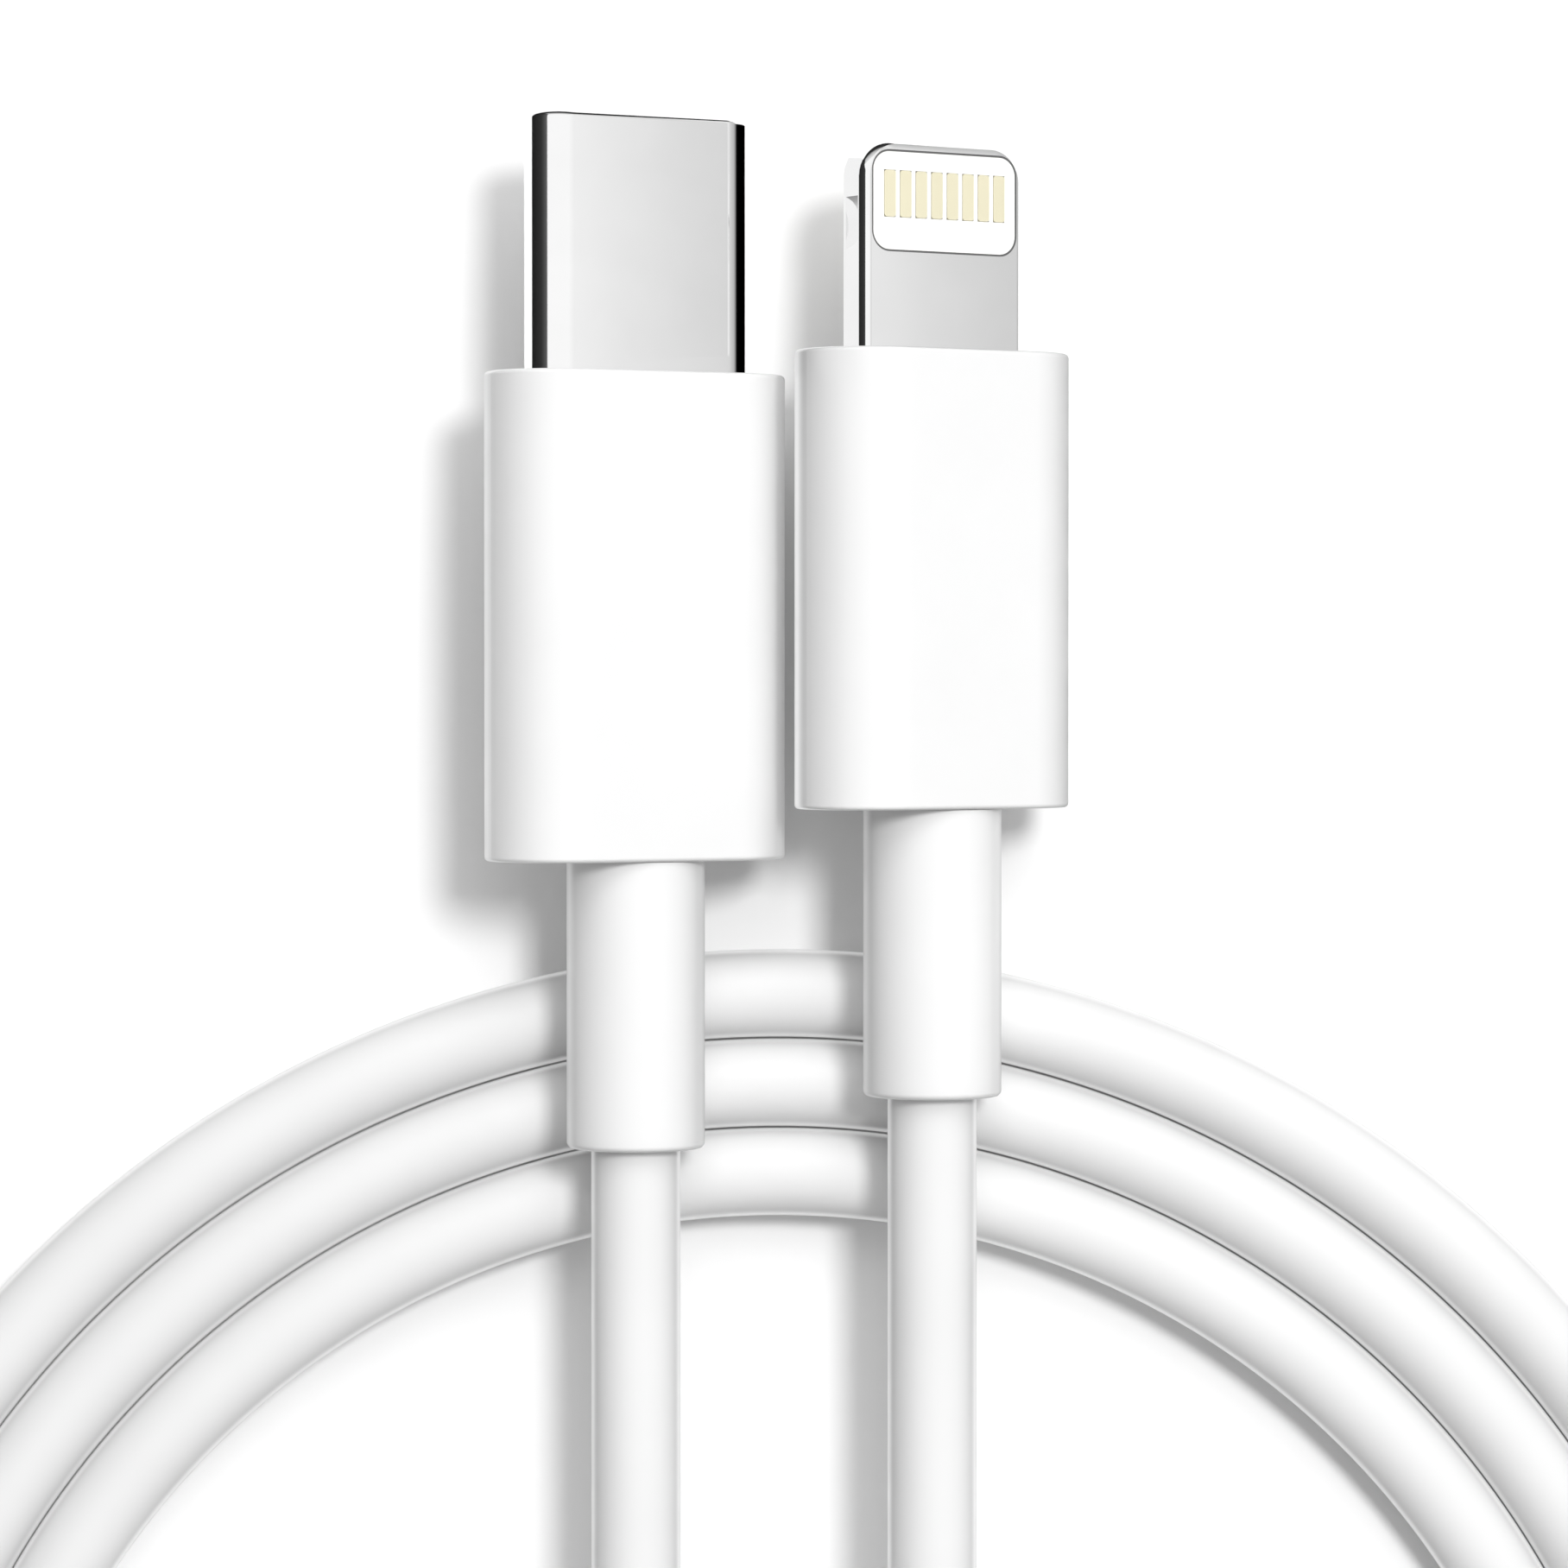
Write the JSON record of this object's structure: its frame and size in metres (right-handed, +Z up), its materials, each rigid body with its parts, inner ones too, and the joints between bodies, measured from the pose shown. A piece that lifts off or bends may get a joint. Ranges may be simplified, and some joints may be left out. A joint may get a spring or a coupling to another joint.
{
  "type": "charging cable",
  "caption": "Coiled white charging cable with an oval plug on one end and a flat contact-tab plug on the other, each with a hard cover and a soft strain relief.",
  "frame": {"origin": "centre of the coil on the surface that it lies on", "axes": "+Y from the coil towards both plug tips, +Z up from the surface, +X to the tab plug's side"},
  "size_m": [0.0754, 0.1354, 0.0097],
  "materials": {
    "cable_jacket": "satin",
    "strain_relief": "satin",
    "cover_plastic": "gloss",
    "braid": "woven tinned copper",
    "wire_red": "satin",
    "wire_black": "satin",
    "wire_green": "satin",
    "wire_white": "satin",
    "wire_blue": "satin",
    "wire_ends": "satin",
    "ferrule_metal": "satin",
    "can_metal": "satin",
    "spring_steel": "satin",
    "shell_steel": "polished",
    "tab_steel": "polished",
    "gold_contact": "gold plated",
    "inner_mould": "matt",
    "insulator": "matt",
    "insert_plastic": "satin",
    "board": "solder mask",
    "components": "matt"
  },
  "bodies": {
    "coil": {"coil_jacket": "cable_jacket", "coil_braid": "braid", "coil_power_wire": "wire_red", "coil_ground_wire": "wire_black", "coil_data_plus_wire": "wire_green", "coil_data_minus_wire": "wire_white", "coil_channel_wire": "wire_blue"},
    "oval_lead_start": {"oval_lead_start_jacket": "cable_jacket", "oval_lead_start_core": "braid"},
    "oval_lead": {"oval_lead_jacket": "cable_jacket", "oval_lead_core": "braid"},
    "oval_neck": {"oval_neck_jacket": "cable_jacket", "oval_neck_core": "braid"},
    "oval_boot_tail": {"oval_boot_tail": "strain_relief", "oval_boot_tail_jacket": "cable_jacket", "oval_boot_tail_core": "braid"},
    "oval_plug": {"oval_cover": "cover_plastic", "oval_boot": "strain_relief", "oval_jacket_end": "cable_jacket", "oval_ferrule": "ferrule_metal", "oval_inner_mould": "inner_mould", "oval_can_front": "can_metal", "oval_can_back": "can_metal", "oval_board": "board", "oval_components": "components", "oval_wire_ends": "wire_ends", "oval_shell": "shell_steel", "oval_insulator": "insulator", "oval_contact_tails": "gold_contact", "oval_mid_plate": "spring_steel", "oval_emi_springs": "spring_steel"},
    "tab_lead_start": {"tab_lead_start_jacket": "cable_jacket", "tab_lead_start_core": "braid"},
    "tab_lead": {"tab_lead_jacket": "cable_jacket", "tab_lead_core": "braid"},
    "tab_neck": {"tab_neck_jacket": "cable_jacket", "tab_neck_core": "braid"},
    "tab_boot_tail": {"tab_boot_tail": "strain_relief", "tab_boot_tail_jacket": "cable_jacket", "tab_boot_tail_core": "braid"},
    "tab_plug": {"tab_cover": "cover_plastic", "tab_boot": "strain_relief", "tab_jacket_end": "cable_jacket", "tab_ferrule": "ferrule_metal", "tab_inner_mould": "inner_mould", "tab_can_front": "can_metal", "tab_can_back": "can_metal", "tab_board": "board", "tab_components": "components", "tab_wire_ends": "wire_ends", "tab_frame": "tab_steel", "tab_insert": "insert_plastic", "tab_contacts_front": "gold_contact", "tab_contacts_back": "gold_contact"},
    "oval_contacts_upper": {"oval_contacts_upper": "gold_contact"},
    "oval_contacts_lower": {"oval_contacts_lower": "gold_contact"},
    "oval_latch_left": {"oval_latch_left": "spring_steel"},
    "oval_latch_right": {"oval_latch_right": "spring_steel"}
  },
  "joints": [
    {"name": "oval_lift", "type": "hinge", "parent": "coil", "child": "oval_lead_start", "pos_m": [-0.00495, -0.01126, 0.00155], "axis": [1, 0, 0], "range_deg": [0, 30]},
    {"name": "oval_lift_further", "type": "hinge", "parent": "oval_lead_start", "child": "oval_lead", "pos_m": [-0.00495, -0.00226, 0.00155], "axis": [1, 0, 0], "range_deg": [0, 30]},
    {"name": "oval_twist", "type": "hinge", "parent": "oval_lead", "child": "oval_neck", "pos_m": [-0.00495, 0.03526, 0.00565], "axis": [0, 1, 0], "range_deg": [-5, 60]},
    {"name": "oval_swing", "type": "hinge", "parent": "oval_neck", "child": "oval_boot_tail", "pos_m": [-0.00495, 0.04486, 0.00565], "axis": [0, 0, 1], "range_deg": [0, 40]},
    {"name": "oval_bend", "type": "hinge", "parent": "oval_boot_tail", "child": "oval_plug", "pos_m": [-0.00495, 0.05026, 0.00565], "axis": [1, 0, 0], "range_deg": [0, 45]},
    {"name": "tab_lift", "type": "hinge", "parent": "coil", "child": "tab_lead_start", "pos_m": [0.00535, -0.01126, 0.00475], "axis": [1, 0, 0], "range_deg": [0, 30]},
    {"name": "tab_lift_further", "type": "hinge", "parent": "tab_lead_start", "child": "tab_lead", "pos_m": [0.00535, -0.00226, 0.00475], "axis": [1, 0, 0], "range_deg": [0, 30]},
    {"name": "tab_twist", "type": "hinge", "parent": "tab_lead", "child": "tab_neck", "pos_m": [0.00535, 0.03706, 0.00565], "axis": [0, 1, 0], "range_deg": [-5, 60]},
    {"name": "tab_swing", "type": "hinge", "parent": "tab_neck", "child": "tab_boot_tail", "pos_m": [0.00535, 0.04666, 0.00565], "axis": [0, 0, 1], "range_deg": [-40, 0]},
    {"name": "tab_bend", "type": "hinge", "parent": "tab_boot_tail", "child": "tab_plug", "pos_m": [0.00535, 0.05206, 0.00565], "axis": [1, 0, 0], "range_deg": [0, 45]},
    {"name": "oval_contacts_upper_flex", "type": "hinge", "parent": "oval_plug", "child": "oval_contacts_upper", "pos_m": [-0.00469, 0.07686, 0.00615], "axis": [0.8886, 0, -0.4587], "range_deg": [0, 1.5]},
    {"name": "oval_contacts_lower_flex", "type": "hinge", "parent": "oval_plug", "child": "oval_contacts_lower", "pos_m": [-0.00521, 0.07686, 0.00515], "axis": [-0.8886, 0, 0.4587], "range_deg": [0, 1.5]},
    {"name": "oval_latch_left_flex", "type": "hinge", "parent": "oval_plug", "child": "oval_latch_left", "pos_m": [-0.00813, 0.07616, 0.00729], "axis": [0.4587, 0, 0.8886], "range_deg": [0, 2]},
    {"name": "oval_latch_right_flex", "type": "hinge", "parent": "oval_plug", "child": "oval_latch_right", "pos_m": [-0.00177, 0.07616, 0.00401], "axis": [-0.4587, 0, -0.8886], "range_deg": [0, 2]}
  ],
  "couplings": [
    {"joint": "oval_lift_further", "follows": "oval_lift", "ratio": 1},
    {"joint": "tab_lift_further", "follows": "tab_lift", "ratio": 1}
  ]
}
